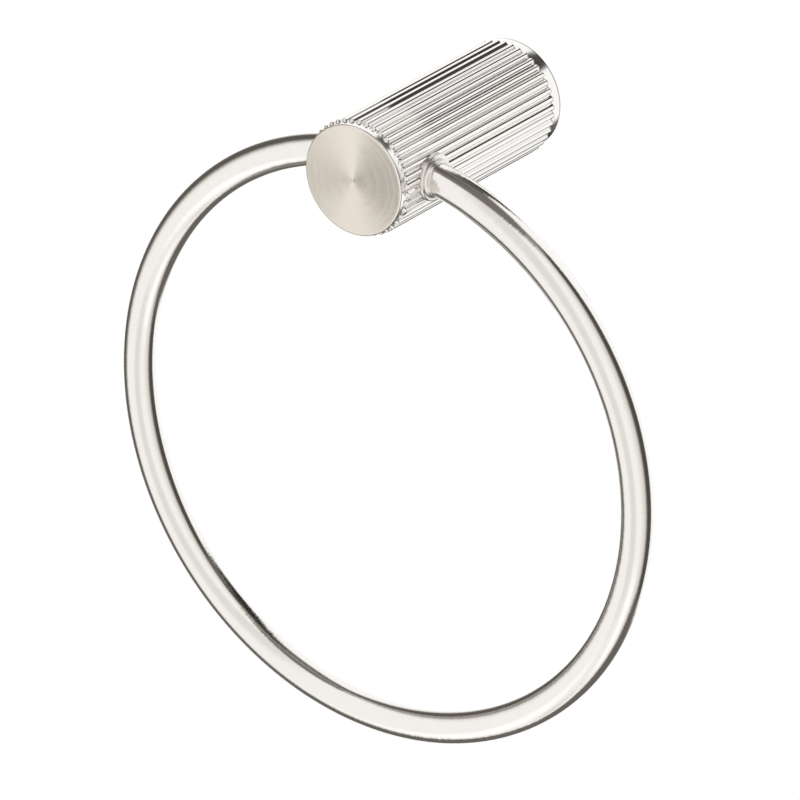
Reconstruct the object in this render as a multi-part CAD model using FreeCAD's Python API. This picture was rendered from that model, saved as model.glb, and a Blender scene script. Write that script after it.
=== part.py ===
import FreeCAD, Part
import math
import os

# Towel ring: a fluted round post on the wall carries a full round ring of bar.
# Frame: origin at the centre of the post's wall face, +Z up, the post points along -Y.
# All sizes are in millimetres.

V = FreeCAD.Vector

# Post, turned from bar
POST_LENGTH = 80.0
BAND_DIAMETER = 34.1
FRONT_BAND = 2.4
REAR_BAND = 4.3
FACE_EDGE_CHAMFER = 0.45
WALL_EDGE_CHAMFER = 0.3
POST_WALL = 3.05
BORE_FLOOR_FROM_RING = 18.0
BORE_MOUTH_CHAMFER = 0.4

# Ribs of the fluted zone, with one of them at the very top
RIB_PITCH = 2.685
RIB_PROUD = 0.9
RIB_DEPTH = 0.8
RIB_TIP_RADIUS = 0.74
FLUTE_RADIUS = 0.55
TOP_ANGLE_DEG = 90.0
LEAST_FLANK_SHARE = 0.03
RIB_RADIUS_STEP = 0.98
RIB_RUN_IN = 1.2

# Ring, bent from round bar, with both ends inside the post
RING_BAR_DIAMETER = 10.0
RING_MEAN_RADIUS = 90.0
RING_BEHIND_FACE = 16.0
RING_END_PAST_SCREW = 1.2
CROSSING_INSET = 0.5

# Collars, pressed in the ends of the cross bore
COLLAR_SHANK_LENGTH = 2.9
COLLAR_FLANGE_OVERLAP = 0.65
COLLAR_FLANGE_THICKNESS = 1.85
COLLAR_PROUD = 0.3
COLLAR_RIM_CHAMFER = 0.4
COLLAR_FLARE = 0.65
COLLAR_NECK_WALL = 0.53
COLLAR_NECK_LENGTH = 1.45

# Wall bracket and the fitter's screw holes in it
BRACKET_LENGTH = 12.0
BRACKET_CHAMFER = 0.8
GROOVE_DEPTH = 1.5
GROOVE_WIDTH = 5.0
WALL_HOLE_DIAMETER = 4.5
WALL_HOLE_SPACING = 16.0
COUNTERSINK_DIAMETER = 8.6

# Set screws with hexagon sockets
SCREW_DIAMETER = 4.0
RING_SCREW_LENGTH = 12.0
POST_SCREW_LENGTH = 4.0
POST_SCREW_FROM_WALL = 7.0
SOCKET_ACROSS_FLATS = 2.0
SOCKET_DEPTH = 1.8
SCREW_TIP_CHAMFER = 0.4

# Clearances, each on the radius unless it says otherwise
RING_CLEARANCE = 0.07
RING_TO_BORE = 0.1
COLLAR_CLEARANCE = 0.02
SPOT_FACE_CLEARANCE = 0.1
BRACKET_CLEARANCE = 0.15
THREAD_CLEARANCE = 0.03
SCREW_TO_COLLAR = 0.3

# Worked out from the sizes above
BAND_R = BAND_DIAMETER / 2
CREST_R = BAND_R + RIB_PROUD
ROOT_R = CREST_R - RIB_DEPTH
RIB_COUNT = round(2 * math.pi * CREST_R / RIB_PITCH)
BORE_R = BAND_R - POST_WALL
BAR_R = RING_BAR_DIAMETER / 2
RING_Y = RING_BEHIND_FACE - POST_LENGTH
BORE_FLOOR_Y = RING_Y + BORE_FLOOR_FROM_RING
CROSSING_X = BAND_R + CROSSING_INSET
RING_DROP = math.sqrt(RING_MEAN_RADIUS ** 2 - CROSSING_X ** 2)
RING_CENTRE = V(0, RING_Y, -RING_DROP)
FLANGE_FACE_X = CREST_R + COLLAR_PROUD
FLANGE_SEAT_X = FLANGE_FACE_X - COLLAR_FLANGE_THICKNESS
NECK_END_X = FLANGE_FACE_X + COLLAR_NECK_LENGTH
SHANK_END_X = FLANGE_SEAT_X - COLLAR_SHANK_LENGTH
SCREW_R = SCREW_DIAMETER / 2
TAPPED_R = SCREW_R + THREAD_CLEARANCE
RING_SCREW_X = SHANK_END_X - SCREW_TO_COLLAR - SCREW_R
RING_END_X = RING_SCREW_X - SCREW_R - RING_END_PAST_SCREW
RING_RISE = math.sqrt(RING_MEAN_RADIUS ** 2 - RING_END_X ** 2) - RING_DROP
CROSS_BORE_R = BAR_R + RING_RISE + RING_TO_BORE
SHANK_R = CROSS_BORE_R - COLLAR_CLEARANCE
FLANGE_R = SHANK_R + COLLAR_FLANGE_OVERLAP
BAR_BOW = (NECK_END_X - SHANK_END_X) ** 2 / (8 * RING_MEAN_RADIUS)
COLLAR_BORE_R = BAR_R + BAR_BOW + RING_CLEARANCE
NECK_R = COLLAR_BORE_R + COLLAR_NECK_WALL
BRACKET_R = BORE_R - BRACKET_CLEARANCE
GROOVE_R = BRACKET_R - GROOVE_DEPTH
OVERRUN = 5.0


def at_depth(depth):
    """Y of a plane that lies this far behind the front face."""
    return depth - POST_LENGTH


def ring_height(x):
    """Z of the bar's centreline, at this distance from the middle plane."""
    return math.sqrt(RING_MEAN_RADIUS ** 2 - x ** 2) - RING_DROP


def polar(radius, angle, y):
    return V(radius * math.cos(angle), y, radius * math.sin(angle))


def line(a, b):
    return Part.makeLine(a, b)


def arc(a, middle, b):
    return Part.Arc(a, middle, b).toShape()


def cylinder(radius, start, end):
    return Part.makeCylinder(radius, (end - start).Length, start, end - start)


def turned(corners):
    """A solid turned about the Y axis from the (radius, y) corners of its half section."""
    outline = Part.makePolygon([V(radius, y, 0) for radius, y in corners + corners[:1]])
    return Part.Face(outline).revolve(V(0, 0, 0), V(0, 1, 0), 360)


def post_core():
    """The smooth turned bar under the ribs, with its edges broken."""
    front, back = at_depth(0), at_depth(POST_LENGTH)
    corners = [(0, front), (BAND_R - FACE_EDGE_CHAMFER, front), (BAND_R, front + FACE_EDGE_CHAMFER),
               (BAND_R, back - WALL_EDGE_CHAMFER), (BAND_R - WALL_EDGE_CHAMFER, back), (0, back)]
    return turned(corners)


def flank(tip, tip_radius, root, root_radius):
    """The straight flank that touches a rib's round tip and the next flute's round root."""
    across = root - tip
    lean = math.acos((tip_radius + root_radius) / across.Length)
    bearing = math.atan2(across.z, across.x)
    normals = [polar(1.0, bearing + side * lean, 0) for side in (1, -1)]
    normal = max(normals, key=tip.dot)
    return tip + normal * tip_radius, root - normal * root_radius


def rib_radii():
    """The tip and flute radii, both made smaller where the pitch leaves no flank between them."""
    tip_radius, root_radius = RIB_TIP_RADIUS, FLUTE_RADIUS
    while True:
        tip = polar(CREST_R - tip_radius, 0, 0)
        root = polar(ROOT_R + root_radius, math.pi / RIB_COUNT, 0)
        room = (root - tip).Length * (1 - LEAST_FLANK_SHARE)
        if tip_radius + root_radius < room:
            return tip_radius, root_radius
        tip_radius *= RIB_RADIUS_STEP
        root_radius *= RIB_RADIUS_STEP


def rib_section(y):
    """The closed wavy outline of the fluted zone: tip, flank, root, flank for each rib."""
    pitch = 2 * math.pi / RIB_COUNT
    tip_radius, root_radius = rib_radii()
    edges = []
    for k in range(RIB_COUNT):
        crest = math.radians(TOP_ANGLE_DEG) + k * pitch
        tip = polar(CREST_R - tip_radius, crest, y)
        next_tip = polar(CREST_R - tip_radius, crest + pitch, y)
        last_root = polar(ROOT_R + root_radius, crest - pitch / 2, y)
        root = polar(ROOT_R + root_radius, crest + pitch / 2, y)
        tip_start, _ = flank(tip, tip_radius, last_root, root_radius)
        tip_end, root_start = flank(tip, tip_radius, root, root_radius)
        next_start, root_end = flank(next_tip, tip_radius, root, root_radius)
        edges.append(arc(tip_start, polar(CREST_R, crest, y), tip_end))
        edges.append(line(tip_end, root_start))
        edges.append(arc(root_start, polar(ROOT_R, crest + pitch / 2, y), root_end))
        edges.append(line(root_end, next_start))
    return Part.Face(Part.Wire(edges))


def rib_envelope():
    """What the ribs are cut to: they rise from the front band, and end square at the rear one."""
    start, end = at_depth(FRONT_BAND), -REAR_BAND
    full = start + RIB_RUN_IN
    beyond = CREST_R + OVERRUN
    return turned([(0, start), (BAND_R, start), (CREST_R, full), (beyond, full), (beyond, end), (0, end)])


def ribs():
    start, end = at_depth(FRONT_BAND), -REAR_BAND
    prism = rib_section(start).extrude(V(0, end - start, 0))
    return prism.common(rib_envelope())


def rear_bore():
    """The blind bore for the bracket, with a chamfered mouth at the wall."""
    bore = cylinder(BORE_R, V(0, BORE_FLOOR_Y, 0), V(0, OVERRUN, 0))
    mouth = Part.makeCone(BORE_R, BORE_R + BORE_MOUTH_CHAMFER, BORE_MOUTH_CHAMFER,
                          V(0, -BORE_MOUTH_CHAMFER, 0), V(0, 1, 0))
    return bore.fuse(mouth)


def cross_bore():
    """The bore through which the ring passes, with a spot face for each collar's flange."""
    far = CREST_R + OVERRUN
    middle = V(0, RING_Y, 0)
    bore = cylinder(CROSS_BORE_R, middle - V(far, 0, 0), middle + V(far, 0, 0))
    cuts = [bore]
    for side in (1, -1):
        seat = middle + V(side * FLANGE_SEAT_X, 0, 0)
        cuts.append(cylinder(FLANGE_R + SPOT_FACE_CLEARANCE, seat, middle + V(side * far, 0, 0)))
    return cuts


def ring_screw_axis(side):
    """Where a ring screw's axis, along Y, meets the centreline of the bar."""
    x = side * RING_SCREW_X
    return V(x, RING_Y, ring_height(x))


def ring_screw_seat(side):
    """Where a ring screw's tip bears on the bar, at its rear."""
    return ring_screw_axis(side) + V(0, BAR_R, 0)


def screw_holes():
    """Tapped holes for the two ring screws and for the post screw."""
    holes = []
    for side in (1, -1):
        axis = ring_screw_axis(side)
        mouth = V(axis.x, BORE_FLOOR_Y + OVERRUN, axis.z)
        holes.append(cylinder(TAPPED_R, axis, mouth))
    inside = V(0, -POST_SCREW_FROM_WALL, -(BORE_R - OVERRUN))
    below = V(0, -POST_SCREW_FROM_WALL, -(CREST_R + OVERRUN))
    holes.append(cylinder(TAPPED_R, inside, below))
    return holes


def post():
    body = post_core().fuse(ribs())
    for cut in [rear_bore()] + cross_bore() + screw_holes():
        body = body.cut(cut)
    return body


def bar_along_ring(radius, start_deg, sweep_deg):
    """Round bar along the ring's circle, from an angle off the top, clockwise from the front."""
    angle = math.radians(start_deg)
    outwards = V(math.sin(angle), 0, math.cos(angle))
    tangent = V(math.cos(angle), 0, -math.sin(angle))
    centre = RING_CENTRE + outwards * RING_MEAN_RADIUS
    section = Part.Face(Part.Wire(Part.makeCircle(radius, centre, tangent)))
    return section.revolve(RING_CENTRE, V(0, 1, 0), sweep_deg)


def off_top(x):
    """Angle off the ring's top, in degrees, at which its centreline is this far from the middle."""
    return math.degrees(math.asin(x / RING_MEAN_RADIUS))


def ring():
    """The bar, sawn square at both ends."""
    start = off_top(RING_END_X)
    return bar_along_ring(BAR_R, start, 360 - 2 * start)


def along_bore(x):
    """A point on the axis of the right collar's straight bore, which follows the bar's slope."""
    middle_x = (SHANK_END_X + NECK_END_X) / 2
    slope = math.tan(math.radians(off_top(middle_x)))
    return V(x, RING_Y, ring_height(middle_x) - slope * (x - middle_x))


def collar():
    """The right collar: shank, flange, flare and short neck, bored at the slope of the bar."""
    rim = COLLAR_RIM_CHAMFER
    body = turned([(0, SHANK_END_X), (SHANK_R, SHANK_END_X), (SHANK_R, FLANGE_SEAT_X),
                   (FLANGE_R, FLANGE_SEAT_X), (FLANGE_R, FLANGE_FACE_X - rim),
                   (FLANGE_R - rim, FLANGE_FACE_X), (NECK_R + COLLAR_FLARE, FLANGE_FACE_X),
                   (NECK_R, FLANGE_FACE_X + COLLAR_FLARE), (NECK_R, NECK_END_X), (0, NECK_END_X)])
    body.rotate(V(0, 0, 0), V(0, 0, 1), -90)
    body.translate(V(0, RING_Y, 0))
    bore = cylinder(COLLAR_BORE_R, along_bore(SHANK_END_X - OVERRUN), along_bore(NECK_END_X + OVERRUN))
    return body.cut(bore)


def mirrored(shape):
    return shape.mirror(V(0, 0, 0), V(1, 0, 0))


def wall_bracket():
    """A turned boss with a groove for the post screw and two countersunk wall holes."""
    front = -BRACKET_LENGTH
    middle = -POST_SCREW_FROM_WALL
    half = GROOVE_WIDTH / 2
    corners = [(0, 0), (BRACKET_R, 0), (BRACKET_R, middle + half), (GROOVE_R, middle + half),
               (GROOVE_R, middle - half), (BRACKET_R, middle - half),
               (BRACKET_R, front + BRACKET_CHAMFER), (BRACKET_R - BRACKET_CHAMFER, front), (0, front)]
    body = turned(corners)
    sink_depth = (COUNTERSINK_DIAMETER - WALL_HOLE_DIAMETER) / 2
    for side in (1, -1):
        z = side * WALL_HOLE_SPACING / 2
        hole = cylinder(WALL_HOLE_DIAMETER / 2, V(0, front - OVERRUN, z), V(0, OVERRUN, z))
        sink = Part.makeCone(COUNTERSINK_DIAMETER / 2, WALL_HOLE_DIAMETER / 2, sink_depth,
                             V(0, front, z), V(0, 1, 0))
        body = body.cut(hole).cut(sink)
    return body


def set_screw(length):
    """A headless screw along +Y: chamfered tip at the origin, hexagon socket at the far end."""
    body = turned([(0, 0), (SCREW_R - SCREW_TIP_CHAMFER, 0), (SCREW_R, SCREW_TIP_CHAMFER),
                   (SCREW_R, length), (0, length)])
    corner_r = SOCKET_ACROSS_FLATS / math.sqrt(3)
    floor_y = length - SOCKET_DEPTH
    hexagon = Part.makePolygon([polar(corner_r, math.radians(60 * k), floor_y) for k in range(7)])
    socket = Part.Face(hexagon).extrude(V(0, SOCKET_DEPTH + OVERRUN, 0))
    return body.cut(socket)


def ring_screw(side):
    """Driven from the rear bore, its tip bears on the ring's end."""
    screw = set_screw(RING_SCREW_LENGTH)
    screw.translate(ring_screw_seat(side))
    return screw


def post_screw():
    """Driven from below, its tip lies on the floor of the bracket's groove."""
    screw = set_screw(POST_SCREW_LENGTH)
    screw.rotate(V(0, 0, 0), V(1, 0, 0), -90)
    screw.translate(V(0, -POST_SCREW_FROM_WALL, -GROOVE_R))
    return screw


def main():
    os.makedirs("parts", exist_ok=True)
    right_collar = collar()
    pieces = {
        "post": post(),
        "ring": ring(),
        "collar_right": right_collar,
        "collar_left": mirrored(right_collar),
        "ring_screw_right": ring_screw(1),
        "ring_screw_left": ring_screw(-1),
        "wall_bracket": wall_bracket(),
        "post_screw": post_screw(),
    }
    for name, shape in pieces.items():
        print(name, len(shape.Solids), shape.isValid(), round(shape.Volume, 1))
        shape.exportStep("parts/" + name + ".step")


main()
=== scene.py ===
import math

import bmesh
import bpy
from bpy.props import FloatProperty, FloatVectorProperty, IntProperty, PointerProperty
from mathutils import Matrix, Vector


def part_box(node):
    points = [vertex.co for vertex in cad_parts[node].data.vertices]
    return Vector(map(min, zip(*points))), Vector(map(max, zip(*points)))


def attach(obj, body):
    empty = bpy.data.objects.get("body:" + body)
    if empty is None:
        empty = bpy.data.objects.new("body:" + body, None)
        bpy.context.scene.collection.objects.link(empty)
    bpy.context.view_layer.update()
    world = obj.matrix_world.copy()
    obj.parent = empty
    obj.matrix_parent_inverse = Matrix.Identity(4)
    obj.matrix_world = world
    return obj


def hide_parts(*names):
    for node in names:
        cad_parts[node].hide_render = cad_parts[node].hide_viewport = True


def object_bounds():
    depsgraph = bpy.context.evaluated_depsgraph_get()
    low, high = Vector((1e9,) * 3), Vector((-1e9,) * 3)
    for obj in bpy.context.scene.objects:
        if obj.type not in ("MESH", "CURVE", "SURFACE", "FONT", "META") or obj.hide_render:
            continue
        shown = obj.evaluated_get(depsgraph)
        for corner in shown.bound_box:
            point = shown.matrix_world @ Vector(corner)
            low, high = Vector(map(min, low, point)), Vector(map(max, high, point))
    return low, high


bl_info = {
    "name": "Towel Ring",
    "version": (1, 0, 0),
    "blender": (4, 5, 0),
    "location": "3D View > Sidebar > Towel Ring",
    "description": "Makes a fluted post with a brushed ring, collars, fixings and a studio",
    "category": "Object",
}

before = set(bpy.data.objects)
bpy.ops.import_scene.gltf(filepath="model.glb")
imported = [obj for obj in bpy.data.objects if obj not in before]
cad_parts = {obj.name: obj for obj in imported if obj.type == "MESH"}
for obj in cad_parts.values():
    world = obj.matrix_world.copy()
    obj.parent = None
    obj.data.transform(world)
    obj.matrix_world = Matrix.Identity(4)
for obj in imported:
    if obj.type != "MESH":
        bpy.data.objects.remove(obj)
cad_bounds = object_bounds()

MM = 0.001
POST_LOW, POST_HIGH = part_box("post")
RING_LOW, RING_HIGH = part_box("ring")
COLLAR_LOW, COLLAR_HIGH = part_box("collar_right")
RING_SCREW_LOW, RING_SCREW_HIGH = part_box("ring_screw_right")
POST_SCREW_LOW, POST_SCREW_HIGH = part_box("post_screw")
BRACKET_LOW, BRACKET_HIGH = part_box("wall_bracket")

FULL_TURN = 2 * math.pi
MERGE_DISTANCE = 1e-6

# How fine the meshes are
RING_STEPS = 480
BAR_STEPS = 64
DRILL_SIDES = 96
COLLAR_STEPS = 144
SLOPE_STEPS = 24
SECTION_STEPS = 6

# Gaps round what sits in the post, as in the solids
SHANK_CLEARANCE = 0.02 * MM
BRACKET_CLEARANCE = 0.15 * MM
THREAD_CLEARANCE = 0.03 * MM
SPOT_FACE_CLEARANCE = 0.1 * MM
DRILL_OVERRUN = 5.0 * MM
DRILL_REACH = 1.3

# Patterns in the finishes
BRUSHED_RADIUS_MM = 90.0
GROOVES_PER_MM = 400.0
THREAD_PITCH_MM = 0.7

# Tints of the tent's bright and dark parts
COOL_LIGHT = (0.985, 1.0, 1.02, 1.0)
WARM_SHADE = (1.0, 0.93, 0.84, 1.0)
PLAIN_WHITE = (1.0, 1.0, 1.0, 1.0)


# Settings that a user would change

def size(name, default, description):
    """A length in metres."""
    return FloatProperty(name=name, description=description, default=default,
                         min=0.0, precision=6, unit="LENGTH")


def tint(name, default, description):
    """A colour."""
    return FloatVectorProperty(name=name, description=description, default=default,
                               min=0.0, max=1.0, size=3, subtype="COLOR")


def share(name, default, description):
    """A number from 0 to 1."""
    return FloatProperty(name=name, description=description, default=default,
                         min=0.0, max=1.0, subtype="FACTOR")


def turn(name, degrees, description):
    """An angle, given here in degrees."""
    return FloatProperty(name=name, description=description, default=math.radians(degrees),
                         subtype="ANGLE", unit="ROTATION")


class PostSizes(bpy.types.PropertyGroup):
    """The fluted post, turned from bar."""
    length: size("Length", POST_HIGH.y - POST_LOW.y, "From the wall to the front face")
    crest_radius: size("Crest radius", POST_HIGH.z, "From the axis to the top of a rib")
    rib_proud: size("Rib height", 0.9 * MM, "How far a rib stands above the bands")
    rib_depth: size("Flute depth", 0.87 * MM, "From the top of a rib to the bottom of a flute")
    tip_radius: size("Rib tip radius", 0.86 * MM, "Radius of a rib's round top")
    flute_radius: size("Flute radius", 0.42 * MM, "Radius of a flute's round bottom")
    rib_count: IntProperty(name="Ribs", description="Ribs around the post", default=42, min=3)
    run_in: size("Rib run-in", 0.75 * MM, "Length over which a rib rises from the front band")
    tip_sweep: size("Rib tip sweep", 0.55 * MM,
                    "How far the sides of a rib's end lie behind its middle")
    rib_end_rounding: size("Rib end rounding", 0.25 * MM, "Rounding of the ribs' rear ends")
    front_band: size("Front band", 2.4 * MM, "Length of the smooth band at the front")
    rear_band: size("Rear band", 4.3 * MM, "Length of the smooth band at the wall")
    face_rounding: size("Face rounding", 0.62 * MM, "Rounding between the face and the front band")
    wall_rounding: size("Wall rounding", 0.35 * MM, "Rounding of the edge at the wall")
    bore_radius: size("Bore radius", BRACKET_HIGH.x + BRACKET_CLEARANCE,
                      "Radius of the bore for the bracket")
    bore_mouth: size("Bore mouth", 0.4 * MM, "Chamfer at the bore's mouth")
    bore_depth: size("Bore depth", 46.0 * MM, "From the wall to the floor of the bore")


class RingSizes(bpy.types.PropertyGroup):
    """The ring, bent from round bar."""
    bar_radius: size("Bar radius", (RING_HIGH.y - RING_LOW.y) / 2,
                     "Half the thickness of the bar")
    mean_radius: size("Mean radius", RING_HIGH.x - (RING_HIGH.y - RING_LOW.y) / 2,
                      "From the ring's centre to the middle of the bar")
    end_from_middle: size("End from middle", 8.0 * MM, "Where the bar ends inside the post")


class CollarSizes(bpy.types.PropertyGroup):
    """The turned collars in the ends of the cross bore."""
    flange_radius: size("Flange radius", (COLLAR_HIGH.y - COLLAR_LOW.y) / 2,
                        "Radius of the flange")
    flange_thickness: size("Flange thickness", 1.85 * MM, "From the seat to the flange's face")
    rim_rounding: size("Rim rounding", 0.5 * MM, "Rounding of the flange's rim")
    shank_radius: size("Shank radius", 6.45 * MM, "Radius of the shank in the cross bore")
    shank_length: size("Shank length", 2.9 * MM, "Length of the shank behind the flange")
    flare: size("Flare", 0.75 * MM, "Radius of the hollow between flange and neck")
    neck_radius: size("Neck radius", 5.65 * MM, "Radius of the short neck round the bar")
    neck_rounding: size("Neck rounding", 0.2 * MM, "Rounding of the neck's end")
    clearance: size("Clearance", 0.04 * MM, "Gap between the bar and the collar")


class Finishes(bpy.types.PropertyGroup):
    """Colours and finishes of the metals."""
    nickel: tint("Nickel", (0.78, 0.75, 0.71), "Colour of the nickel finish")
    # The spun face's colour is the nickel made darker and warmer with painted shade.
    spun_nickel_with_painted_shade: tint("Spun nickel", (0.675, 0.618, 0.54), "Colour of the spun front face")
    screw_steel: tint("Screw steel", (0.62, 0.62, 0.62), "Colour of the set screws")
    bracket_metal: tint("Bracket metal", (0.66, 0.66, 0.67), "Colour of the wall bracket")
    polish: share("Nickel roughness", 0.16, "Roughness of the brushed nickel")
    spun_spread: share("Spun spread", 1.0, "How far the spun grooves spread the light")
    spun_swirl: turn("Spun swirl", 27.0, "How far the grooves lean the light off the radius")
    brush_spread: share("Brush spread", 0.16, "How far the brush lines spread the light")


class StudioSettings(bpy.types.PropertyGroup):
    """Camera, light tent, flags and floor."""
    view_azimuth: turn("View azimuth", 35.93, "Camera bearing from the front, towards the right")
    view_elevation: turn("View elevation", 24.57, "Camera height angle above the level")
    view_distance: FloatProperty(name="View distance", default=3.3633, unit="LENGTH",
                                 description="From the aim point to the camera")
    aim: FloatVectorProperty(name="Aim", description="Point in the middle of the picture",
                             default=(0.0006, -0.0576, -0.0777), size=3, subtype="TRANSLATION")
    lens: FloatProperty(name="Lens", description="Focal length of the camera, in millimetres",
                        default=516.9, unit="CAMERA")
    tent_radius: size("Tent radius", 1.3, "From the object to the tent round it")
    tent_light: FloatProperty(name="Tent light", description="Strength of the tent's bright parts",
                              default=1.3, min=0.0)
    flag_light: FloatProperty(name="Flag light", description="Strength of the tent's dark flags",
                              default=0.09, min=0.0)
    flag_radius: size("Flag radius", 62.0 * MM, "From the post's axis to the flags close to it")
    flag_length: size("Flag length", 134.0 * MM, "Length of those flags along the post")
    flag_middle: size("Flag middle", 24.0 * MM, "From the wall back to the middle of those flags")
    floor_drop: size("Floor drop", 1.6, "From the middle of the object down to the floor")


class TowelRingSettings(bpy.types.PropertyGroup):
    """All settings of the towel ring."""
    post: PointerProperty(type=PostSizes)
    ring: PointerProperty(type=RingSizes)
    collar: PointerProperty(type=CollarSizes)
    finish: PointerProperty(type=Finishes)
    studio: PointerProperty(type=StudioSettings)


# Node trees written as expressions

class Value:
    """An output socket. Arithmetic on it adds Math nodes to its tree."""

    def __init__(self, tree, socket):
        self.tree = tree
        self.socket = socket

    def math(self, operation, *inputs):
        return self.tree.node("ShaderNodeMath", dict(enumerate(inputs)), operation=operation)

    def __add__(self, other):
        return self.math("ADD", self, other)

    def __radd__(self, other):
        return self.math("ADD", other, self)

    def __sub__(self, other):
        return self.math("SUBTRACT", self, other)

    def __rsub__(self, other):
        return self.math("SUBTRACT", other, self)

    def __mul__(self, other):
        return self.math("MULTIPLY", self, other)

    def __rmul__(self, other):
        return self.math("MULTIPLY", other, self)

    def __truediv__(self, other):
        return self.math("DIVIDE", self, other)

    def __rtruediv__(self, other):
        return self.math("DIVIDE", other, self)

    def __pow__(self, other):
        return self.math("POWER", self, other)

    def __neg__(self):
        return self.math("MULTIPLY", self, -1.0)

    def __gt__(self, other):
        return self.math("GREATER_THAN", self, other)

    def __lt__(self, other):
        return self.math("LESS_THAN", self, other)

    def unary(self, operation):
        return self.math(operation, self)

    def root(self):
        return self.unary("SQRT")

    def sine(self):
        return self.unary("SINE")

    def cosine(self):
        return self.unary("COSINE")

    def floor(self):
        return self.unary("FLOOR")

    def clamped(self):
        return self.math("MINIMUM", self.math("MAXIMUM", self, 0.0), 1.0)

    def bearing(self, other):
        return self.math("ARCTAN2", self, other)

    def mixed(self, other, mask):
        """This value where the mask is 0, and the other where it is 1."""
        return self + (other - self) * mask

    def over(self, other):
        """The greater of two masks."""
        return self.math("MAXIMUM", self, other)

    def ramp(self, start, end):
        """A smooth step from 0 at the start to 1 at the end."""
        return self.tree.node("ShaderNodeMapRange", {
            "Value": self, "From Min": start, "From Max": end}, interpolation_type="SMOOTHSTEP")


class Tree:
    """A node tree of any kind, to which nodes are added one call at a time."""

    def __init__(self, node_tree):
        self.node_tree = node_tree

    def node(self, kind, inputs=None, output=0, **settings):
        """Adds a node, makes its settings first, then feeds its sockets; gives one output."""
        node = self.node_tree.nodes.new(kind)
        for name, value in settings.items():
            setattr(node, name, value)
        for key, value in (inputs or {}).items():
            self.feed(node.inputs[key], value)
        return Value(self, node.outputs[output]) if node.outputs else node

    def feed(self, socket, value):
        """Links a Value, or several into one socket, or sets the socket's own value."""
        if isinstance(value, Value):
            self.node_tree.links.new(value.socket, socket)
        elif isinstance(value, list):
            for item in reversed(value):
                self.node_tree.links.new(item.socket, socket)
        else:
            socket.default_value = value

    def parts(self, vector):
        """The X, Y and Z of a vector, as three Values."""
        node = self.node_tree.nodes.new("ShaderNodeSeparateXYZ")
        self.node_tree.links.new(vector.socket, node.inputs[0])
        return [Value(self, output) for output in node.outputs]

    def joined(self, x, y, z):
        return self.node("ShaderNodeCombineXYZ", {"X": x, "Y": y, "Z": z})

    def vector_math(self, operation, *inputs):
        return self.node("ShaderNodeVectorMath", dict(enumerate(inputs)), operation=operation)

    def noise(self, where, scale, detail=2.0, roughness=0.5, dimensions="1D"):
        """Smooth noise from 0 to 1, along one value or through a vector."""
        place = "W" if dimensions == "1D" else "Vector"
        return self.node("ShaderNodeTexNoise",
                         {place: where, "Scale": scale, "Detail": detail, "Roughness": roughness},
                         noise_dimensions=dimensions)


# Finishes

def metal(tree, paint, roughness, normal=None):
    """Ends a material as bare metal of this colour, roughness and normal."""
    inputs = {"Base Color": paint, "Metallic": 1.0, "Roughness": roughness}
    if normal is not None:
        inputs["Normal"] = normal
    surface = tree.node("ShaderNodeBsdfPrincipled", inputs)
    tree.node("ShaderNodeOutputMaterial", {"Surface": surface})


def new_material(name):
    """An empty material and its tree."""
    material = bpy.data.materials.new(name)
    material.use_nodes = True
    material.node_tree.nodes.clear()
    return material, Tree(material.node_tree)


def object_place(tree):
    """X, Y and Z on the object, in millimetres."""
    place = tree.node("ShaderNodeTexCoord", output="Object")
    return [part * (1 / MM) for part in tree.parts(place)]


def leaned_normal(tree, *leans):
    """The surface's normal, leaned along each (direction, amount) pair."""
    normal = tree.node("ShaderNodeNewGeometry", output="Normal")
    for direction, amount in leans:
        lean = tree.vector_math("SCALE", direction)
        tree.feed(lean.socket.node.inputs["Scale"], amount)
        normal = tree.vector_math("ADD", normal, lean)
    return tree.vector_math("NORMALIZE", normal)


def blended(tree, mask, start, end):
    """The start colour where the mask is 0, and the end colour where it is 1."""
    return tree.node("ShaderNodeMix", {0: mask, 6: start, 7: end}, output=2, data_type="RGBA")


def varied(tree, colour, amount, mask):
    """The colour, darker by up to the amount where the mask is high."""
    dark = [channel * (1 - amount) for channel in colour]
    return blended(tree, mask, (*colour, 1.0), (*dark, 1.0))


def turned_lines(tree, lines, strength, depth):
    """The normal over fine turned lines of this depth."""
    return tree.node("ShaderNodeBump", {"Strength": strength, "Distance": depth, "Height": lines},
                     output="Normal")


def spun_material(finish):
    """The face: fine grooves round the middle, which spread light outwards and inwards. Its colour
    is the nickel darkened and warmed with painted shade.
    """
    material, tree = new_material("spun nickel face")
    x, y, z = object_place(tree)
    radius = (x * x + z * z).root()
    along, aside = math.cos(finish.spun_swirl), math.sin(finish.spun_swirl)
    outwards = tree.vector_math("NORMALIZE", tree.joined(
        x * along - z * aside, 0.0, z * along + x * aside))
    groove = (radius * GROOVES_PER_MM).floor()
    lean = tree.node("ShaderNodeTexWhiteNoise", {"W": groove}, noise_dimensions="1D")
    rings = tree.noise(radius, 3.0, detail=3.0, roughness=0.8)
    normal = leaned_normal(tree, (outwards, (lean - 0.6) * finish.spun_spread))
    # Painted shade: the face's base colour is darker and warmer than the nickel.
    paint = varied(tree, finish.spun_nickel_with_painted_shade, 0.1, rings)
    metal(tree, paint, 0.17, normal)
    return material


def band_material(finish):
    """The smooth bands: fine brush lines round the post, and painted shade as a dark line along the
    rounded edge at the wall.
    """
    material, tree = new_material("brushed nickel bands")
    x, y, z = object_place(tree)
    along = tree.joined(0.0, 1.0, 0.0)
    lines = tree.noise(y, 9.0, detail=4.0, roughness=0.7)
    around = tree.noise(x.bearing(z), 3.0, detail=2.0)
    normal = leaned_normal(tree, (along, (lines - 0.5) * finish.brush_spread))
    # Painted shade: the base colour darkens along the rounded edge at the wall.
    wall_edge_painted_shade = ((y + 0.8) * 4.0).clamped()
    paint = varied(tree, finish.nickel, 0.7, (wall_edge_painted_shade * 0.9 + lines * 0.08).clamped())
    metal(tree, paint, finish.polish + (around - 0.5) * 0.06, normal)
    return material


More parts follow.
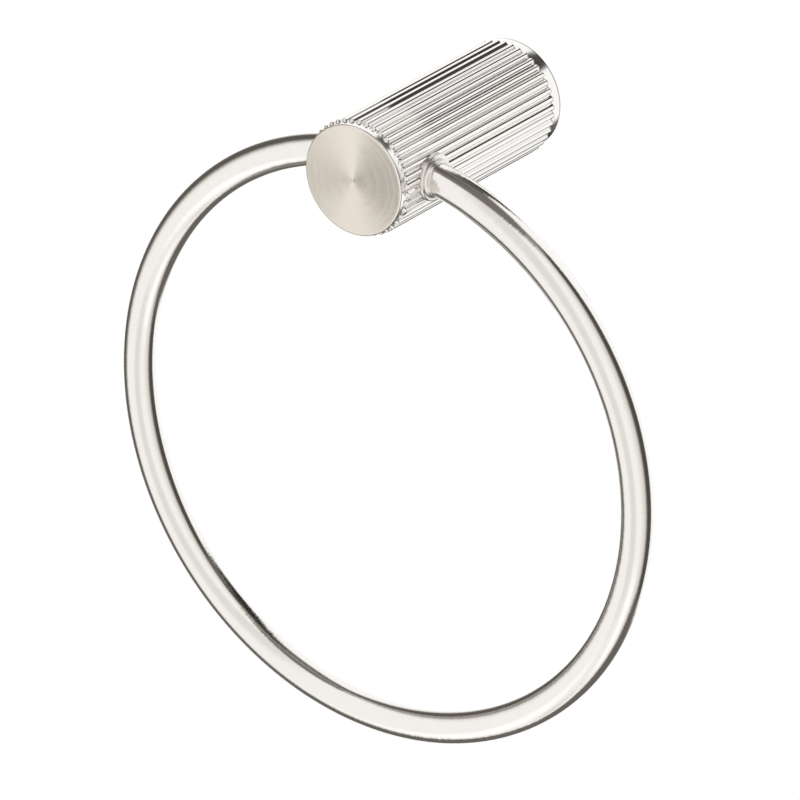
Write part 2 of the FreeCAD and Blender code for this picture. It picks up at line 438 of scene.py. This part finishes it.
def rib_material(finish, post):
    """The ribs: drawn lines along them, with painted shade darkening their flanks and as a dark
    line at their rear ends.
    """
    material, tree = new_material("brushed nickel ribs")
    x, y, z = object_place(tree)
    radius = (x * x + z * z).root()
    below_crest = post.crest_radius / MM - radius
    # Painted shade: the base colour darkens on the rib flanks, down towards the flutes.
    flank_painted_shade = within(below_crest, 0.42, 0.66, 0.14, 0.08)
    streak = tree.noise(tree.joined(x * 6.0, y * 0.25, z * 6.0), 1.0, detail=3.0, dimensions="3D")
    # Painted shade: a dark line in the base colour at the ribs' rear ends.
    rear_end_painted_shade = ((y + (post.rear_band / MM + 0.6)) * 5.0).clamped()
    paint = varied(tree, finish.nickel, 0.6, rear_end_painted_shade * 0.9 + flank_painted_shade * 0.3 + streak * 0.06)
    metal(tree, paint, 0.05 + (streak - 0.5) * 0.02)
    return material


def bore_material(finish):
    """Bores and spot faces, left as they were turned."""
    material, tree = new_material("turned bore")
    x, y, z = object_place(tree)
    lines = tree.noise(y + x * 0.2, 6.0, detail=3.0)
    paint = varied(tree, finish.bracket_metal, 0.3, lines)
    metal(tree, paint, 0.35 + lines * 0.1, turned_lines(tree, lines, 0.3, 0.02 * MM))
    return material


def ring_material(finish, centre):
    """The ring: fine brush lines across the bar, all the way round."""
    material, tree = new_material("brushed nickel ring")
    x, y, z = object_place(tree)
    height = z - centre.z / MM
    reach = (x * x + height * height).root()
    arc = x.bearing(height) * BRUSHED_RADIUS_MM
    outwards = tree.vector_math("NORMALIZE", tree.joined(x, 0.0, height))
    along = tree.vector_math("NORMALIZE", tree.joined(height, 0.0, -x))
    lift = reach - BRUSHED_RADIUS_MM
    level = y - centre.y / MM
    fine = tree.joined(arc * 4.5, lift * 0.16, level * 0.16)
    lines = tree.noise(fine, 1.0, detail=4.0, roughness=0.7, dimensions="3D")
    coarse = tree.joined(arc * 1.7, lift * 0.15 + 7.0, level * 0.15)
    shift = tree.noise(coarse, 1.0, detail=3.0, roughness=0.7, dimensions="3D")
    normal = leaned_normal(tree, (along, (lines - 0.5) * (finish.brush_spread * 1.5)),
                           (outwards, (shift - 0.5) * (finish.brush_spread * 0.2)))
    paint = varied(tree, finish.nickel, 0.1, lines)
    metal(tree, paint, finish.polish - 0.03 + (shift - 0.5) * 0.08, normal)
    return material


def collar_material(finish):
    """The collars: turned lines round the bar."""
    material, tree = new_material("turned nickel collar")
    x, y, z = object_place(tree)
    level = y - (COLLAR_LOW.y + COLLAR_HIGH.y) / 2 / MM
    radius = (level * level + z * z).root()
    lines = tree.noise(radius - x.unary("ABSOLUTE"), 3.5, detail=3.0, roughness=0.6)
    paint = varied(tree, finish.nickel, 0.1, lines)
    metal(tree, paint, 0.24 + lines * 0.06, turned_lines(tree, lines, 0.25, 0.03 * MM))
    return material


def screw_material(finish, name, axis):
    """A set screw's steel, with its thread as ridges across the axis."""
    material, tree = new_material(name)
    place = object_place(tree)
    ridges = (place[axis] * (FULL_TURN / THREAD_PITCH_MM)).sine()
    specks = tree.noise(tree.joined(*place), 2.5, detail=3.0, dimensions="3D")
    paint = varied(tree, finish.screw_steel, 0.3, specks)
    metal(tree, paint, 0.3 + specks * 0.12, turned_lines(tree, ridges, 0.6, 0.1 * MM))
    return material


def bracket_material(finish):
    """The bracket's turned metal: rings on its faces and lines round its side."""
    material, tree = new_material("turned bracket metal")
    x, y, z = object_place(tree)
    radius = (x * x + z * z).root()
    lines = tree.noise(radius + y, 5.0, detail=3.0, roughness=0.6)
    paint = varied(tree, finish.bracket_metal, 0.22, lines)
    metal(tree, paint, 0.4 + lines * 0.1, turned_lines(tree, lines, 0.4, 0.03 * MM))
    return material


# Shapes

def arc_steps(start, end, steps):
    """Angles from start to end in degrees, both included, as radians."""
    return [math.radians(start + (end - start) * k / steps) for k in range(steps + 1)]


def mesh_object(name, mesh):
    """An object in the scene, at the origin, that shows the mesh."""
    piece = bpy.data.objects.new(name, mesh)
    bpy.context.scene.collection.objects.link(piece)
    return piece


def points_object(name, points, **attributes):
    """A mesh of loose points in order, with a number kept on each under each attribute's name."""
    mesh = bpy.data.meshes.new(name)
    mesh.from_pydata(points, [], [])
    for key, numbers in attributes.items():
        mesh.attributes.new(key, "FLOAT", "POINT").data.foreach_set("value", numbers)
    return mesh_object(name, mesh)


def smoothed(mesh, crease_deg=18.0):
    """Smooth shading, with creases kept sharp and normals pointing outwards."""
    form = bmesh.new()
    form.from_mesh(mesh)
    bmesh.ops.recalc_face_normals(form, faces=form.faces)
    form.to_mesh(mesh)
    form.free()
    mesh.shade_smooth()
    mesh.set_sharp_from_angle(angle=math.radians(crease_deg))
    return mesh


def node_group(name, sockets):
    """An empty geometry tree with the named inputs, and its inputs as Values."""
    group = bpy.data.node_groups.new(name, "GeometryNodeTree")
    group.interface.new_socket("Geometry", in_out="OUTPUT", socket_type="NodeSocketGeometry")
    for label, kind in sockets:
        group.interface.new_socket(label, in_out="INPUT", socket_type="NodeSocket" + kind)
    tree = Tree(group)
    entry = group.nodes.new("NodeGroupInput")
    return tree, {label: Value(tree, entry.outputs[label]) for label, _ in sockets}


def finish_tree(tree, shape, material_steps):
    """Ends a tree: instances made real, then each (material, selection) in turn."""
    shape = tree.node("GeometryNodeRealizeInstances", {"Geometry": shape})
    for material, selection in material_steps:
        inputs = {"Geometry": shape, "Material": material}
        if selection is not None:
            inputs["Selection"] = selection
        shape = tree.node("GeometryNodeSetMaterial", inputs)
    tree.node("NodeGroupOutput", {"Geometry": shape})


def grown(name, carrier, tree, settings):
    """The plain mesh object that the tree makes on the carrier, which is then removed."""
    modifier = carrier.modifiers.new(name, "NODES")
    modifier.node_group = tree.node_tree
    for item in tree.node_tree.interface.items_tree:
        if item.item_type == "SOCKET" and item.in_out == "INPUT" and item.name in settings:
            modifier[item.identifier] = settings[item.name]
    bpy.context.view_layer.update()
    evaluated = carrier.evaluated_get(bpy.context.evaluated_depsgraph_get())
    mesh = bpy.data.meshes.new_from_object(evaluated)
    mesh.name = name
    bpy.data.objects.remove(carrier)
    if not mesh.polygons:
        raise RuntimeError(name + " came out empty")
    return mesh_object(name, smoothed(mesh))


def rib_section(post):
    """One rib from flute to flute, as (radius, angle off its middle) points.

    Its round top and the round flutes are arcs, with straight flanks between them."""
    half_pitch = math.pi / post.rib_count
    tip = Vector((post.crest_radius - post.tip_radius, 0.0))
    root_reach = post.crest_radius - post.rib_depth + post.flute_radius
    root = Vector((root_reach * math.cos(half_pitch), root_reach * math.sin(half_pitch)))
    across = root - tip
    opening = math.acos((post.tip_radius + post.flute_radius) / across.length)
    lean = math.atan2(across.y, across.x) - opening
    half = [tip + post.tip_radius * Vector((math.cos(a), math.sin(a)))
            for a in arc_steps(0.0, math.degrees(lean), SECTION_STEPS)]
    half += [root - post.flute_radius * Vector((math.cos(a), math.sin(a)))
             for a in arc_steps(math.degrees(lean), math.degrees(half_pitch), SECTION_STEPS)]
    side = [(point.length, math.atan2(point.y, point.x)) for point in half]
    return [(radius, -angle) for radius, angle in side[:0:-1]] + side[:-1]


def post_profile(post):
    """Half the post's outline, from the middle of its face round to the bore's floor.

    Each point is (radius, y, share of the ribs' height there)."""
    front, band = -post.length, post.crest_radius - post.rib_proud
    rounding, edge, corner = post.face_rounding, post.wall_rounding, post.rib_end_rounding
    rib_start, rib_end = front + post.front_band, -post.rear_band
    face = band - rounding
    outline = [(0.0, front, 0.0), (face / 2, front, 0.0), (face - rounding / 4, front, 0.0)]
    outline += [(face + rounding * math.sin(a), front + rounding * (1 - math.cos(a)), 0.0)
                for a in arc_steps(0, 90, 8)]
    outline += [(band, rib_start - rounding / 4, 0.0), (band, rib_start, 1.0)]
    slope = post.run_in + post.tip_sweep
    outline += [(band, rib_start + slope * k / SLOPE_STEPS, 1.0) for k in range(1, SLOPE_STEPS + 1)]
    outline += [(band, rib_end - corner + corner * math.sin(a),
                 1.0 - corner / post.rib_proud * (1 - math.cos(a))) for a in arc_steps(0, 90, 7)]
    outline += [(band, rib_end, 0.0), (band, rib_end + edge / 2, 0.0)]
    outline += [(band - edge * (1 - math.cos(a)), -edge + edge * math.sin(a), 0.0)
                for a in arc_steps(0, 90, 7)]
    return outline + [(post.bore_radius + post.bore_mouth, 0.0, 0.0),
                      (post.bore_radius, -post.bore_mouth, 0.0),
                      (post.bore_radius, -post.bore_depth, 0.0), (0.0, -post.bore_depth, 0.0)]


def drilled(tree, radius, start, end):
    """A cylinder for a hole, from start to end."""
    axis = end - start
    drill = tree.node("GeometryNodeMeshCylinder",
                      {"Vertices": DRILL_SIDES, "Radius": radius, "Depth": axis.length},
                      output="Mesh")
    bend = Vector((0, 0, 1)).rotation_difference(axis).to_euler()
    return tree.node("GeometryNodeTransform",
                     {"Geometry": drill, "Translation": (start + end) / 2, "Rotation": bend})


def ring_centre():
    """The middle of the ring's circle."""
    return Vector((0.0, (RING_LOW.y + RING_HIGH.y) / 2, RING_LOW.z + RING_HIGH.x))


def bar_height(ring, x):
    """Z of the bar's centreline at this distance from the middle plane."""
    return ring_centre().z + math.sqrt(ring.mean_radius * ring.mean_radius - x * x)


def collar_seat(collar):
    """How far from the middle plane the collar's flange sits on the post."""
    return COLLAR_LOW.x + collar.shank_length


def post_holes(tree, settings):
    """The cross bore with its spot faces, and the tapped holes for the set screws."""
    post, collar = settings.post, settings.collar
    middle = Vector((0.0, ring_centre().y, 0.0))
    outside = Vector((post.crest_radius * DRILL_REACH, 0.0, 0.0))
    seat = Vector((collar_seat(collar), 0.0, 0.0))
    bore_radius = collar.shank_radius + SHANK_CLEARANCE
    cuts = [drilled(tree, bore_radius, middle - outside, middle + outside)]
    screw_radius = (RING_SCREW_HIGH.x - RING_SCREW_LOW.x) / 2 + THREAD_CLEARANCE
    screw = (RING_SCREW_LOW + RING_SCREW_HIGH) / 2
    for side in (1, -1):
        cuts.append(drilled(tree, collar.flange_radius + SPOT_FACE_CLEARANCE,
                            middle + side * seat, middle + side * outside))
        cuts.append(drilled(tree, screw_radius, Vector((side * screw.x, middle.y, screw.z)),
                            Vector((side * screw.x, DRILL_OVERRUN - post.bore_depth, screw.z))))
    back = (POST_SCREW_LOW.y + POST_SCREW_HIGH.y) / 2
    cuts.append(drilled(tree, screw_radius, Vector((0.0, back, DRILL_OVERRUN - post.bore_radius)),
                        Vector((0.0, back, -post.crest_radius * DRILL_REACH))))
    return cuts


def fluted_tree(settings):
    """Turns the profile's points about Y, and stands the rib section on it all the way round."""
    post = settings.post
    tree, given = node_group("Fluted post", [
        ("Profile", "Geometry"), ("Rib Section", "Object"), ("Ribs", "Int"), ("Rows", "Int"),
        ("Points per Rib", "Int"), ("Band Radius", "Float"), ("Rib Start", "Float"),
        ("Run-in", "Float"), ("Tip Sweep", "Float"),
        ("Face", "Material"), ("Bands", "Material"), ("Rib Finish", "Material"),
        ("Bore", "Material")])
    section = tree.node("GeometryNodeObjectInfo", {"Object": given["Rib Section"]},
                        output="Geometry")
    columns = given["Ribs"] * given["Points per Rib"] + 1.0
    grid = tree.node("GeometryNodeMeshGrid", {"Vertices X": columns, "Vertices Y": given["Rows"]},
                     output="Mesh")
    index = tree.node("GeometryNodeInputIndex")
    position = tree.node("GeometryNodeInputPosition")
    column = (index / given["Rows"]).floor()
    row = index - column * given["Rows"]

    def picked(geometry, value, at, kind):
        return tree.node("GeometryNodeSampleIndex",
                         {"Geometry": geometry, "Value": value, "Index": at}, data_type=kind)

    ribbed = tree.node("GeometryNodeInputNamedAttribute", {"Name": "ribbed"}, data_type="FLOAT")
    radius, y, _ = tree.parts(picked(given["Profile"], position, row, "FLOAT_VECTOR"))
    height_share = picked(given["Profile"], ribbed, row, "FLOAT")
    rib = (column / given["Points per Rib"]).floor()
    rib_radius, offset, _ = tree.parts(
        picked(section, position, column - rib * given["Points per Rib"], "FLOAT_VECTOR"))
    pitch = FULL_TURN / given["Ribs"]
    sideways = offset / (pitch * 0.5)
    sweep = given["Tip Sweep"] * sideways * sideways
    climb = ((y - given["Rib Start"] - sweep) / given["Run-in"]).clamped()
    rise = climb * (1.15 - climb ** 6.0 * 0.15)
    proud = (rib_radius - given["Band Radius"]) * height_share * rise
    bearing = rib * pitch + offset
    full = radius + proud
    place = tree.joined(full * bearing.sine(), y, full * bearing.cosine())
    body = tree.node("GeometryNodeSetPosition", {"Geometry": grid, "Position": place})
    body = tree.node("GeometryNodeMergeByDistance",
                     {"Geometry": body, "Distance": MERGE_DISTANCE})
    body = tree.node("GeometryNodeMeshBoolean",
                     {"Mesh 1": body, "Mesh 2": post_holes(tree, settings)},
                     output="Mesh", operation="DIFFERENCE", solver="EXACT")

    x, y, z = tree.parts(position)
    reach = (x * x + z * z).root()
    front, band = -post.length, post.crest_radius - post.rib_proud
    on_face = y < front + post.face_rounding * 0.2
    in_ribs = (y > front + post.front_band) * (y < -post.rear_band) * (reach > band)
    in_bore = (reach < band - post.face_rounding) * (y > front + post.face_rounding)
    finish_tree(tree, body, [(given["Bands"], None), (given["Face"], on_face),
                             (given["Rib Finish"], in_ribs), (given["Bore"], in_bore)])
    return tree


def make_post(settings):
    """The post: its profile turned round the axis, with the ribs on it and the holes in it."""
    post, finish = settings.post, settings.finish
    profile, section = post_profile(post), rib_section(post)
    carrier = points_object("post profile", [(radius, y, 0.0) for radius, y, _ in profile],
                            ribbed=[height for _, _, height in profile])
    helper = points_object("rib section", [(radius, angle, 0.0) for radius, angle in section])
    piece = grown("fluted_post", carrier, fluted_tree(settings), {
        "Rib Section": helper, "Ribs": post.rib_count, "Rows": len(profile),
        "Points per Rib": len(section), "Band Radius": post.crest_radius - post.rib_proud,
        "Rib Start": post.front_band - post.length, "Run-in": post.run_in,
        "Tip Sweep": post.tip_sweep, "Face": spun_material(finish), "Bands": band_material(finish),
        "Rib Finish": rib_material(finish, post), "Bore": bore_material(finish)})
    bpy.data.objects.remove(helper)
    return piece


def make_ring(settings):
    """The bar swept round the ring's circle, open at the top where it ends inside the post."""
    ring = settings.ring
    tree, given = node_group("Ring", [
        ("Carrier", "Geometry"), ("Mean Radius", "Float"), ("Bar Radius", "Float"),
        ("Start", "Float"), ("Sweep", "Float"), ("Centre", "Vector"), ("Finish", "Material")])
    path = tree.node("GeometryNodeCurveArc", {
        "Resolution": RING_STEPS, "Radius": given["Mean Radius"],
        "Start Angle": given["Start"], "Sweep Angle": given["Sweep"]}, output="Curve")
    path = tree.node("GeometryNodeTransform", {
        "Geometry": path, "Translation": given["Centre"], "Rotation": (math.pi / 2, 0.0, 0.0)})
    section = tree.node("GeometryNodeCurvePrimitiveCircle",
                        {"Resolution": BAR_STEPS, "Radius": given["Bar Radius"]}, output="Curve")
    bar = tree.node("GeometryNodeCurveToMesh",
                    {"Curve": path, "Profile Curve": section, "Fill Caps": True})
    finish_tree(tree, bar, [(given["Finish"], None)])
    half_gap = math.asin(ring.end_from_middle / ring.mean_radius)
    carrier = points_object("ring carrier", [(0.0, 0.0, 0.0)])
    centre = ring_centre()
    return grown("brushed_ring", carrier, tree, {
        "Mean Radius": ring.mean_radius, "Bar Radius": ring.bar_radius,
        "Start": math.pi / 2 + half_gap, "Sweep": FULL_TURN - 2 * half_gap,
        "Centre": centre, "Finish": ring_material(settings.finish, centre)})


def make_collar(settings, side, material):
    """A turned collar whose bore follows the bar, so its wall is thick above and thin below."""
    collar, ring = settings.collar, settings.ring
    centre_y = ring_centre().y
    neck_end = COLLAR_HIGH.x
    seat = collar_seat(collar)
    flange_face = seat + collar.flange_thickness
    shank, flange, neck = collar.shank_radius, collar.flange_radius, collar.neck_radius
    rim, flare, corner = collar.rim_rounding, collar.flare, collar.neck_rounding
    outline = [(COLLAR_LOW.x, shank), (seat, shank), (seat, flange)]
    outline += [(flange_face - rim + rim * math.sin(a), flange - rim * (1 - math.cos(a)))
                for a in arc_steps(0, 90, 6)]
    outline += [(flange_face + flare - flare * math.cos(a), neck + flare - flare * math.sin(a))
                for a in arc_steps(0, 90, 8)]
    bends = arc_steps(0, 90, 5)

    def outer(x, radius, bearing):
        return Vector((x, centre_y + radius * math.cos(bearing), radius * math.sin(bearing)))

    def inner(x, bearing):
        slope = math.asin(x / ring.mean_radius)
        radius = ring.bar_radius + collar.clearance
        return Vector((x, centre_y + radius * math.cos(bearing),
                       bar_height(ring, x) + radius / math.cos(slope) * math.sin(bearing)))

    def rounded_end(bend, bearing):
        x = neck_end - corner * (1 - math.sin(bend))
        start, end = outer(x, neck, bearing), inner(x, bearing)
        wall = (end - start).length
        return start.lerp(end, min(corner * (1 - math.cos(bend)), 0.6 * wall) / wall)

    bearings = [FULL_TURN * k / COLLAR_STEPS for k in range(COLLAR_STEPS)]
    rows = [[outer(x, radius, bearing) for bearing in bearings] for x, radius in outline]
    rows += [[rounded_end(bend, bearing) for bearing in bearings] for bend in bends]
    depths = [neck_end + (COLLAR_LOW.x - neck_end) * k / 8 for k in range(9)]
    rows += [[inner(x, bearing) for bearing in bearings] for x in depths]
    form = bmesh.new()
    loops = [[form.verts.new((side * p.x, p.y, p.z)) for p in row] for row in rows]
    for near, far in zip(loops, loops[1:] + loops[:1]):
        for k in range(COLLAR_STEPS):
            after = (k + 1) % COLLAR_STEPS
            form.faces.new((near[k], near[after], far[after], far[k]))
    name = "turned_collar_right" if side > 0 else "turned_collar_left"
    mesh = bpy.data.meshes.new(name)
    form.to_mesh(mesh)
    form.free()
    mesh.materials.append(material)
    return mesh_object(name, smoothed(mesh))


def stand_for(piece, node):
    """The piece rides on the body and stands for the CAD node, which is hidden."""
    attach(piece, "root")
    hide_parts(node)


def dress(node, material):
    """Gives a CAD node its finish."""
    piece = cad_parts[node]
    piece.data.materials.clear()
    piece.data.materials.append(material)


# Studio

def facing(azimuth, elevation):
    """A direction from its bearing off the front, towards the right, and its height angle."""
    return Vector((math.sin(azimuth) * math.cos(elevation),
                   -math.cos(azimuth) * math.cos(elevation), math.sin(elevation)))


def within(value, start, end, soft_start, soft_end):
    """One between the two ends, falling to nothing over a soft edge outside each."""
    return value.ramp(start - soft_start, start) * (1.0 - value.ramp(end, end + soft_end))


def tent_strength(tree, studio):
    """How bright the tent is, by bearing off the front and height angle, both in degrees.

    Bright all round, a little less in front and at the sides and more low in front, with soft
    dark flags: one each side, one overhead and one low down at the sides and behind."""
    x, y, z = tree.parts(tree.node("ShaderNodeTexCoord", output="Object"))
    bearing = x.bearing(-y) * math.degrees(1.0)
    height = (z / studio.tent_radius).unary("ARCSINE") * math.degrees(1.0)
    behind = bearing.unary("ABSOLUTE")
    low = 1.0 - height.ramp(-40.0, -10.0)
    right_flag = within(bearing, 104.0, 128.0, 22.0, 7.0) * (1.0 - height.ramp(58.0, 70.0))
    left_flag = within(bearing - low * 22.0, -116.0, -92.0, 14.0, 28.0)
    low_flag = (1.0 - height.ramp(-51.0, -41.0)) * behind.ramp(72.0, 96.0)
    overhead = height.ramp(60.0, 70.0)
    front_dip = within(bearing, 0.0, 20.0, 16.0, 14.0) * 0.17
    side_dip = behind.ramp(52.0, 88.0) * (1.0 - behind.ramp(120.0, 136.0)) * 0.25
    glow = within(height, -62.0, -44.0, 8.0, 12.0) * (1.0 - behind.ramp(50.0, 70.0)) * 0.14
    front = 1.0 - behind.ramp(60.0, 130.0)
    light = (1.0 + glow - front_dip - side_dip - front * 0.06) * studio.tent_light
    light = light.mixed(0.22, overhead)
    light = light.mixed(studio.flag_light, right_flag.over(left_flag * 0.95))
    return light.mixed(0.17, low_flag)


def unseen_stage(name, form, material, place, turned=(0.0, 0.0, 0.0)):
    """A stage piece that shows in the metal but not to the camera."""
    mesh = bpy.data.meshes.new(name)
    form.to_mesh(mesh)
    form.free()
    mesh.materials.append(material)
    piece = mesh_object(name, mesh)
    piece.rotation_euler = turned
    piece.location = place
    piece.visible_camera = False


def make_flags(studio):
    """Two dark flags close to the post, one above and one below.

    They lie on a cylinder round the post, whose own Z points along the post to its front, and
    are placed by the angle from the right, upwards, in degrees. They are darker, and the upper
    one is wider, where the ribs show them and the bands don't."""
    form = bmesh.new()
    bmesh.ops.create_cone(form, segments=96, radius1=studio.flag_radius,
                          radius2=studio.flag_radius, depth=studio.flag_length)
    material, tree = new_material("post flags")
    x, y, z = tree.parts(tree.node("ShaderNodeTexCoord", output="Object"))
    around = y.bearing(x) * math.degrees(1.0)
    ribs_only = within(z / MM, -38.0, 31.0, 3.0, 3.0)
    widened = ribs_only * within(around, 51.0, 84.0, 8.0, 6.0)
    upper = within(around, 56.0, 79.0, 7.0, 7.0).over(widened)
    lower = within(around, -106.0, -62.0, 6.0, 16.0)
    lower_light = (around + 92.0).ramp(0.0, 12.0) * 0.2 * (around < 0.0)
    upper_light = (around > 0.0) * 0.09
    strength = (lower_light + 0.03 + upper_light) * (1.0 - ribs_only * 0.5)
    dark = tree.node("ShaderNodeEmission", {"Color": WARM_SHADE, "Strength": strength})
    clear = tree.node("ShaderNodeBsdfTransparent")
    tree.node("ShaderNodeOutputMaterial", {
        "Surface": tree.node("ShaderNodeMixShader", {0: upper.over(lower), 1: clear, 2: dark})})
    unseen_stage("post_flags", form, material, (0.0, studio.flag_middle, 0.0),
                 (math.pi / 2, 0.0, 0.0))


def make_tent(middle, studio):
    """A round tent that lights the object."""
    form = bmesh.new()
    bmesh.ops.create_icosphere(form, subdivisions=5, radius=studio.tent_radius)
    material, tree = new_material("tent light")
    strength = tent_strength(tree, studio)
    shade = (1.0 - strength * (1.0 / studio.tent_light)).clamped()
    colour = blended(tree, shade, COOL_LIGHT, WARM_SHADE)
    light = tree.node("ShaderNodeEmission", {"Color": colour, "Strength": strength})
    tree.node("ShaderNodeOutputMaterial", {"Surface": light})
    unseen_stage("light_tent", form, material, middle)


def make_floor(level):
    """A wide pale floor, white to the camera and in the metal."""
    mesh = bpy.data.meshes.new("floor")
    reach = 8.0
    mesh.from_pydata([(-reach, -reach, level), (reach, -reach, level),
                      (reach, reach, level), (-reach, reach, level)], [], [(0, 1, 2, 3)])
    material, tree = new_material("pale floor")
    path = tree.node_tree.nodes.new("ShaderNodeLightPath")
    seen = (Value(tree, path.outputs["Is Camera Ray"]) + Value(tree, path.outputs["Is Glossy Ray"])
            + Value(tree, path.outputs["Is Transmission Ray"]))
    pale = tree.node("ShaderNodeBsdfDiffuse", {"Color": (0.9, 0.9, 0.9, 1.0)})
    white = tree.node("ShaderNodeEmission", {"Color": PLAIN_WHITE, "Strength": 1.0})
    tree.node("ShaderNodeOutputMaterial",
              {"Surface": tree.node("ShaderNodeMixShader", {0: seen.clamped(), 1: pale, 2: white})})
    mesh.materials.append(material)
    mesh_object("floor", mesh)


def make_world(scene):
    """A white world of plain strength."""
    world = bpy.data.worlds.new("white studio")
    world.use_nodes = True
    world.node_tree.nodes.clear()
    tree = Tree(world.node_tree)
    sky = tree.node("ShaderNodeBackground", {"Color": PLAIN_WHITE, "Strength": 1.0})
    tree.node("ShaderNodeOutputWorld", {"Surface": sky})
    scene.world = world


def make_camera(scene, studio):
    """The camera, at the photograph's angle."""
    data = bpy.data.cameras.new("camera")
    data.lens = studio.lens
    data.clip_end = 50.0
    camera = bpy.data.objects.new("camera", data)
    scene.collection.objects.link(camera)
    backwards = facing(studio.view_azimuth, studio.view_elevation)
    right = Vector((math.cos(studio.view_azimuth), math.sin(studio.view_azimuth), 0.0))
    upwards = backwards.cross(right)
    turned = Matrix((right, upwards, backwards)).transposed().to_4x4()
    place = Vector(studio.aim) + backwards * studio.view_distance
    camera.matrix_world = Matrix.Translation(place) @ turned
    scene.camera = camera


def make_studio(studio):
    """The tent, the flags, the floor, the background and the camera."""
    scene = bpy.context.scene
    scene.view_settings.view_transform = "Standard"
    low, high = (Vector(corner) for corner in cad_bounds)
    middle = (low + high) / 2
    make_tent(middle, studio)
    make_flags(studio)
    make_floor(middle.z - studio.floor_drop)
    make_world(scene)
    make_camera(scene, studio)


# Add-on

class TOWELRING_OT_post(bpy.types.Operator):
    """Makes the fluted post"""
    bl_idname = "towelring.post"
    bl_label = "Fluted Post"
    bl_options = {"REGISTER", "UNDO"}

    def execute(self, context):
        stand_for(make_post(context.scene.towel_ring), "post")
        return {"FINISHED"}


class TOWELRING_OT_ring(bpy.types.Operator):
    """Makes the brushed ring"""
    bl_idname = "towelring.ring"
    bl_label = "Ring"
    bl_options = {"REGISTER", "UNDO"}

    def execute(self, context):
        stand_for(make_ring(context.scene.towel_ring), "ring")
        return {"FINISHED"}


class TOWELRING_OT_collars(bpy.types.Operator):
    """Makes the two turned collars"""
    bl_idname = "towelring.collars"
    bl_label = "Collars"
    bl_options = {"REGISTER", "UNDO"}

    def execute(self, context):
        settings = context.scene.towel_ring
        material = collar_material(settings.finish)
        stand_for(make_collar(settings, 1, material), "collar_right")
        stand_for(make_collar(settings, -1, material), "collar_left")
        return {"FINISHED"}


class TOWELRING_OT_fixings(bpy.types.Operator):
    """Finishes the set screws and the wall bracket"""
    bl_idname = "towelring.fixings"
    bl_label = "Screws and Bracket"
    bl_options = {"REGISTER", "UNDO"}

    def execute(self, context):
        finish = context.scene.towel_ring.finish
        along_y, along_z = 1, 2
        ring_screws = screw_material(finish, "ring screw steel", along_y)
        dress("ring_screw_right", ring_screws)
        dress("ring_screw_left", ring_screws)
        dress("post_screw", screw_material(finish, "post screw steel", along_z))
        dress("wall_bracket", bracket_material(finish))
        return {"FINISHED"}


class TOWELRING_OT_studio(bpy.types.Operator):
    """Makes the light tent, the flags, the floor, the background and the camera"""
    bl_idname = "towelring.studio"
    bl_label = "Studio"
    bl_options = {"REGISTER", "UNDO"}

    def execute(self, context):
        make_studio(context.scene.towel_ring.studio)
        return {"FINISHED"}


class TOWELRING_PT_sidebar(bpy.types.Panel):
    """Lists the towel ring's pieces"""
    bl_idname = "TOWELRING_PT_sidebar"
    bl_label = "Towel Ring"
    bl_space_type = "VIEW_3D"
    bl_region_type = "UI"
    bl_category = "Towel Ring"

    def draw(self, context):
        for operator in OPERATORS:
            self.layout.operator(operator.bl_idname)


OPERATORS = (TOWELRING_OT_post, TOWELRING_OT_ring, TOWELRING_OT_collars,
             TOWELRING_OT_fixings, TOWELRING_OT_studio)
CLASSES = (PostSizes, RingSizes, CollarSizes, Finishes, StudioSettings, TowelRingSettings,
           *OPERATORS, TOWELRING_PT_sidebar)


def register():
    for item in CLASSES:
        bpy.utils.register_class(item)
    bpy.types.Scene.towel_ring = PointerProperty(type=TowelRingSettings)


def unregister():
    del bpy.types.Scene.towel_ring
    for item in reversed(CLASSES):
        bpy.utils.unregister_class(item)


def main():
    """Makes everything."""
    register()
    bpy.ops.towelring.post()
    bpy.ops.towelring.ring()
    bpy.ops.towelring.collars()
    bpy.ops.towelring.fixings()
    bpy.ops.towelring.studio()


if __name__ == "__main__":
    main()
